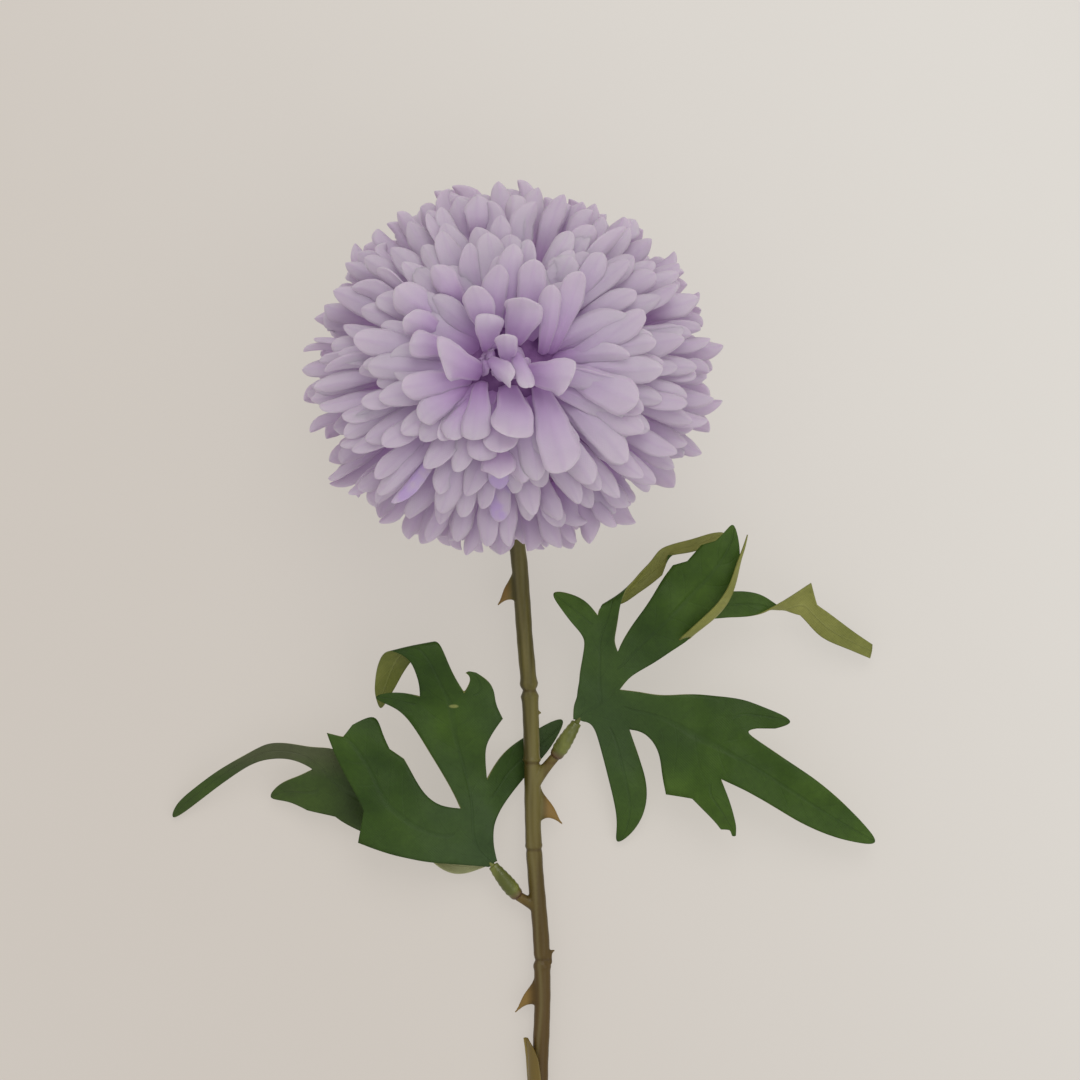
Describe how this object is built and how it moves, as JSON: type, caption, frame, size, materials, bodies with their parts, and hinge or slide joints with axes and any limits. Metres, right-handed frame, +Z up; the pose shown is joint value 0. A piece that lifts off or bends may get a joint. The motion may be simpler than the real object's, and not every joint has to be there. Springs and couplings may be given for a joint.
{
  "type": "chrysanthemum flower head",
  "caption": "Artificial ball chrysanthemum bloom of layered spoon-shaped petals on a short cut stem with thorns and lobed leaves, lying on a surface.",
  "frame": {"origin": "on the surface that the flower lies on, under the middle of the bloom, on the bloom's lowest flat spot", "axes": "+Y from the cut end of the stem to the bloom, +X to the right of it, +Z up, away from the surface"},
  "size_m": [0.1763, 0.2317, 0.0825],
  "materials": {
    "petals": "matte",
    "calyx": "matte",
    "stem": "satin",
    "sleeves": "satin",
    "bract": "satin",
    "leaves": "matte"
  },
  "bodies": {
    "root": {"bloom": "petals", "calyx": "calyx", "stem": "stem", "petiole_left": "sleeves", "petiole_right": "sleeves", "bract": "bract", "leaf_left": "leaves", "leaf_right": "leaves"}
  },
  "joints": []
}
